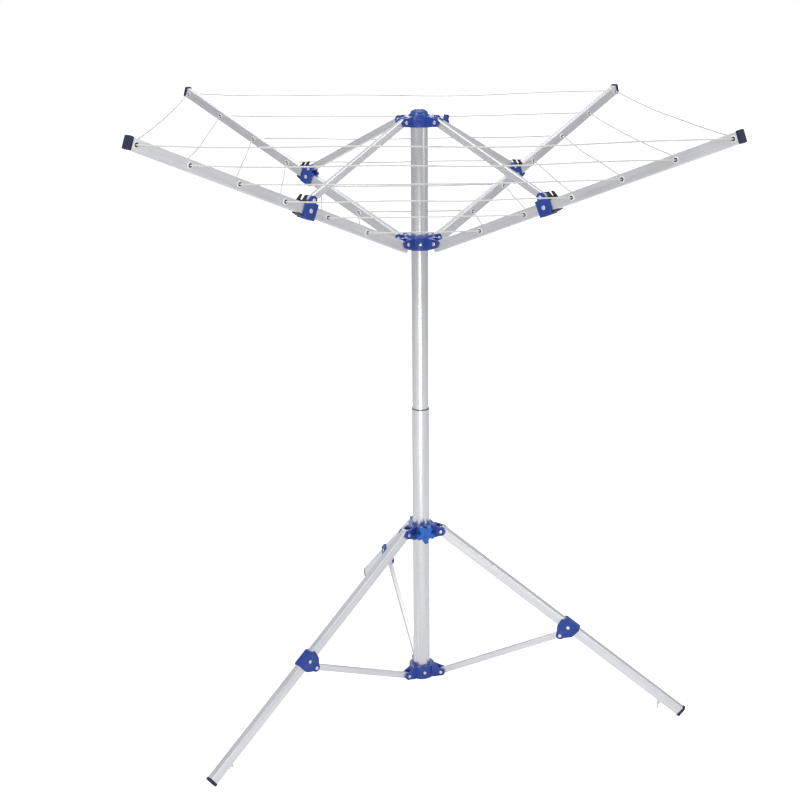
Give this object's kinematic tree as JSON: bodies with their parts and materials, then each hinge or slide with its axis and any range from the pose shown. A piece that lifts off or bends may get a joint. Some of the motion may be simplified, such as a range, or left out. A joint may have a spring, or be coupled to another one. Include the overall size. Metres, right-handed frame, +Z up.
{
  "type": "rotary clothesline",
  "caption": "Free-standing rotary clothesline: two-part mast on a folding tripod, folding arms with struts, and rounds of line strung through eyelets.",
  "frame": {"origin": "the point on the ground on the mast's axis", "axes": "+Z up along the mast, +X along the first arm, +Y along the second arm"},
  "size_m": [1.4742, 1.4742, 1.3224],
  "materials": {
    "tube_aluminium": "satin drawn tube",
    "bar_aluminium": "satin extrusion",
    "blue_plastic": "moulded blue plastic",
    "cap_plastic": "smooth moulded",
    "knob_plastic": "lighter blue moulding",
    "end_cap_plastic": "dark blue moulding",
    "eyelet_plastic": "white moulding",
    "black_plastic": "black moulding",
    "rivet_steel": "zinc plated",
    "ring_steel": "plated wire",
    "line_cord": "PVC-coated cord"
  },
  "bodies": {
    "mast": {"lower_tube": "tube_aluminium", "bottom_hub": "blue_plastic", "bottom_hub_pins": "rivet_steel"},
    "head": {"upper_tube": "tube_aluminium", "top_hub": "blue_plastic", "top_cap": "cap_plastic", "top_hub_pins": "rivet_steel", "line": "line_cord"},
    "strut_1": {"strut_1": "bar_aluminium"},
    "arm_1": {"arm_1": "bar_aluminium", "arm_cap_1": "end_cap_plastic", "eyelets_1": "eyelet_plastic", "bracket_1": "blue_plastic", "bracket_pins_1": "rivet_steel", "wedge_1": "black_plastic"},
    "strut_2": {"strut_2": "bar_aluminium", "line_hook": "blue_plastic"},
    "arm_2": {"arm_2": "bar_aluminium", "arm_cap_2": "end_cap_plastic", "eyelets_2": "eyelet_plastic", "bracket_2": "blue_plastic", "bracket_pins_2": "rivet_steel", "wedge_2": "black_plastic"},
    "strut_3": {"strut_3": "bar_aluminium"},
    "arm_3": {"arm_3": "bar_aluminium", "arm_cap_3": "end_cap_plastic", "eyelets_3": "eyelet_plastic", "bracket_3": "blue_plastic", "bracket_pins_3": "rivet_steel", "wedge_3": "black_plastic"},
    "strut_4": {"strut_4": "bar_aluminium"},
    "arm_4": {"arm_4": "bar_aluminium", "arm_cap_4": "end_cap_plastic", "eyelets_4": "eyelet_plastic", "bracket_4": "blue_plastic", "bracket_pins_4": "rivet_steel", "wedge_4": "black_plastic"},
    "arm_hub": {"arm_hub": "blue_plastic", "arm_hub_pins": "rivet_steel"},
    "collar": {"leg_collar": "blue_plastic", "collar_pins": "rivet_steel"},
    "knob": {"knob": "knob_plastic"},
    "brace_1": {"brace_1": "bar_aluminium"},
    "leg_1": {"leg_1": "bar_aluminium", "leg_cap_1": "end_cap_plastic", "leg_clamp_1": "blue_plastic", "clamp_pins_1": "rivet_steel"},
    "ring_1": {"foot_ring_1": "ring_steel"},
    "brace_2": {"brace_2": "bar_aluminium"},
    "leg_2": {"leg_2": "bar_aluminium", "leg_cap_2": "end_cap_plastic", "leg_clamp_2": "blue_plastic", "clamp_pins_2": "rivet_steel"},
    "ring_2": {"foot_ring_2": "ring_steel"},
    "brace_3": {"brace_3": "bar_aluminium"},
    "leg_3": {"leg_3": "bar_aluminium", "leg_cap_3": "end_cap_plastic", "leg_clamp_3": "blue_plastic", "clamp_pins_3": "rivet_steel"},
    "ring_3": {"foot_ring_3": "ring_steel"}
  },
  "joints": [
    {"name": "head_spin", "type": "hinge", "parent": "mast", "child": "head", "pos_m": [0, 0, 0.6], "axis": [0, 0, 1], "continuous": true},
    {"name": "head_fold", "type": "hinge", "parent": "head", "child": "strut_1", "pos_m": [0.049, 0, 1.28914], "axis": [0, 1, 0], "range_deg": [0, 60], "deforming": ["line"]},
    {"name": "arm_1_pivot", "type": "hinge", "parent": "strut_1", "child": "arm_1", "pos_m": [0.31698, 0, 1.16522], "axis": [0, -1, 0], "range_deg": [0, 120]},
    {"name": "strut_2_pivot", "type": "hinge", "parent": "head", "child": "strut_2", "pos_m": [0, 0.049, 1.28914], "axis": [-1, 0, 0], "range_deg": [0, 60]},
    {"name": "arm_2_pivot", "type": "hinge", "parent": "strut_2", "child": "arm_2", "pos_m": [0, 0.31698, 1.16522], "axis": [1, 0, 0], "range_deg": [0, 120]},
    {"name": "strut_3_pivot", "type": "hinge", "parent": "head", "child": "strut_3", "pos_m": [-0.049, 0, 1.28914], "axis": [0, -1, 0], "range_deg": [0, 60]},
    {"name": "arm_3_pivot", "type": "hinge", "parent": "strut_3", "child": "arm_3", "pos_m": [-0.31698, 0, 1.16522], "axis": [0, 1, 0], "range_deg": [0, 120]},
    {"name": "strut_4_pivot", "type": "hinge", "parent": "head", "child": "strut_4", "pos_m": [0, -0.049, 1.28914], "axis": [1, 0, 0], "range_deg": [0, 60]},
    {"name": "arm_4_pivot", "type": "hinge", "parent": "strut_4", "child": "arm_4", "pos_m": [0, -0.31698, 1.16522], "axis": [-1, 0, 0], "range_deg": [0, 120]},
    {"name": "arm_hub_level", "type": "hinge", "parent": "arm_1", "child": "arm_hub", "pos_m": [0.049, 0, 1.0413], "axis": [0, 1, 0], "range_deg": [0, 60]},
    {"name": "tripod_fold", "type": "hinge", "parent": "mast", "child": "brace_1", "pos_m": [0.04379, 0.02084, 0.0333], "axis": [0.4297, -0.903, 0], "range_deg": [0, 43.5]},
    {"name": "leg_1_pivot", "type": "hinge", "parent": "brace_1", "child": "leg_1", "pos_m": [0.29274, 0.13932, 0.16422], "axis": [-0.4297, 0.903, 0], "range_deg": [0, 76.5]},
    {"name": "brace_2_pivot", "type": "hinge", "parent": "mast", "child": "brace_2", "pos_m": [-0.03995, 0.02751, 0.0333], "axis": [0.5671, 0.8236, 0], "range_deg": [0, 43.5]},
    {"name": "leg_2_pivot", "type": "hinge", "parent": "brace_2", "child": "leg_2", "pos_m": [-0.26702, 0.18386, 0.16422], "axis": [-0.5671, -0.8236, 0], "range_deg": [0, 76.5]},
    {"name": "brace_3_pivot", "type": "hinge", "parent": "mast", "child": "brace_3", "pos_m": [-0.00385, -0.04835, 0.0333], "axis": [-0.9968, 0.0793, 0], "range_deg": [0, 43.5]},
    {"name": "leg_3_pivot", "type": "hinge", "parent": "brace_3", "child": "leg_3", "pos_m": [-0.02572, -0.32318, 0.16422], "axis": [0.9968, -0.0793, 0], "range_deg": [0, 76.5]},
    {"name": "collar_slide", "type": "slide", "parent": "mast", "child": "collar", "axis": [0, 0, 1], "range_m": [0, 0.2681]},
    {"name": "knob_turn", "type": "hinge", "parent": "collar", "child": "knob", "pos_m": [0.02636, -0.01815, 0.3871], "axis": [0.8236, -0.5671, 0], "range_deg": [0, 180]},
    {"name": "ring_1_swing", "type": "hinge", "parent": "leg_1", "child": "ring_1", "pos_m": [0.49537, 0.23575, 0.0248], "axis": [-0.4297, 0.903, 0], "range_deg": [-25, 25]},
    {"name": "ring_2_swing", "type": "hinge", "parent": "leg_2", "child": "ring_2", "pos_m": [-0.45185, 0.31113, 0.0248], "axis": [-0.5671, -0.8236, 0], "range_deg": [-25, 25]},
    {"name": "ring_3_swing", "type": "hinge", "parent": "leg_3", "child": "ring_3", "pos_m": [-0.04352, -0.54688, 0.0248], "axis": [0.9968, -0.0793, 0], "range_deg": [-25, 25]}
  ],
  "couplings": [
    {"joint": "arm_1_pivot", "follows": "head_fold", "ratio": 2},
    {"joint": "strut_2_pivot", "follows": "head_fold", "ratio": 1},
    {"joint": "arm_2_pivot", "follows": "head_fold", "ratio": 2},
    {"joint": "strut_3_pivot", "follows": "head_fold", "ratio": 1},
    {"joint": "arm_3_pivot", "follows": "head_fold", "ratio": 2},
    {"joint": "strut_4_pivot", "follows": "head_fold", "ratio": 1},
    {"joint": "arm_4_pivot", "follows": "head_fold", "ratio": 2},
    {"joint": "arm_hub_level", "follows": "head_fold", "ratio": 1},
    {"joint": "leg_1_pivot", "follows": "tripod_fold", "ratio": 1.7585},
    {"joint": "brace_2_pivot", "follows": "tripod_fold", "ratio": 1},
    {"joint": "leg_2_pivot", "follows": "tripod_fold", "ratio": 1.7585},
    {"joint": "brace_3_pivot", "follows": "tripod_fold", "ratio": 1},
    {"joint": "leg_3_pivot", "follows": "tripod_fold", "ratio": 1.7585},
    {"joint": "collar_slide", "follows": "tripod_fold", "m_per_rad": 0.35302}
  ]
}
